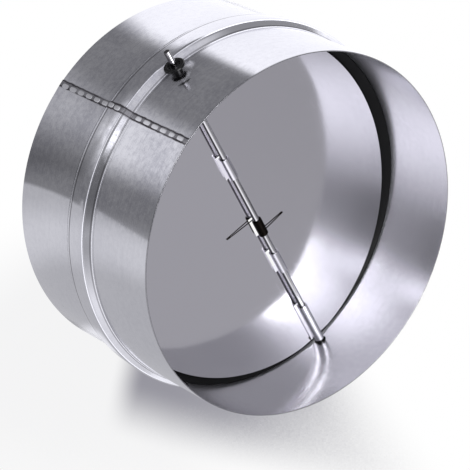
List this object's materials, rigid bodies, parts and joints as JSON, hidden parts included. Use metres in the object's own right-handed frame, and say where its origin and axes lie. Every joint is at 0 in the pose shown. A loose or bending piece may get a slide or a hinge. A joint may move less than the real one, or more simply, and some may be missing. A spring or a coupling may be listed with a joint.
{
  "type": "duct backdraft damper",
  "caption": "Round duct sleeve with a raised bead and a hinged butterfly of spring-shut half-round blades on a cross rod, which lets air through one way only.",
  "frame": {"origin": "centre of the rear rim's plane, on the duct's axis", "axes": "+Z along the duct from the air's inlet to the front opening, +X along the axle rod, +Y square to both"},
  "size_m": [0.2282, 0.207, 0.114],
  "materials": {
    "galvanised_sheet": "bright galvanised sheet, satin, with fine rolling marks",
    "blade_sheet": "mill-finish sheet, smooth and evenly grey",
    "bright_rod": "drawn and polished round bar",
    "spring_wire": "dark hard-drawn spring wire",
    "black_rubber": "moulded black rubber, slightly glossy"
  },
  "bodies": {
    "duct": {"duct_sleeve": "galvanised_sheet", "seal_ring": "black_rubber", "axle_rod": "bright_rod", "grommet_plus_x": "black_rubber", "grommet_minus_x": "black_rubber", "torsion_spring": "spring_wire"},
    "left_blade": {"left_blade": "blade_sheet"},
    "right_blade": {"right_blade": "blade_sheet"}
  },
  "joints": [
    {"name": "left_blade_hinge", "type": "hinge", "parent": "duct", "child": "left_blade", "pos_m": [0, 0, 0.0705], "axis": [1, 0, 0], "range_deg": [0, 90], "stiffness_Nm_per_rad": 0.008, "springref_deg": -34.38, "deforming": ["torsion_spring"]},
    {"name": "right_blade_hinge", "type": "hinge", "parent": "duct", "child": "right_blade", "pos_m": [0, 0, 0.0705], "axis": [-1, 0, 0], "range_deg": [0, 90], "stiffness_Nm_per_rad": 0.008, "springref_deg": -34.38, "deforming": ["torsion_spring"]}
  ]
}
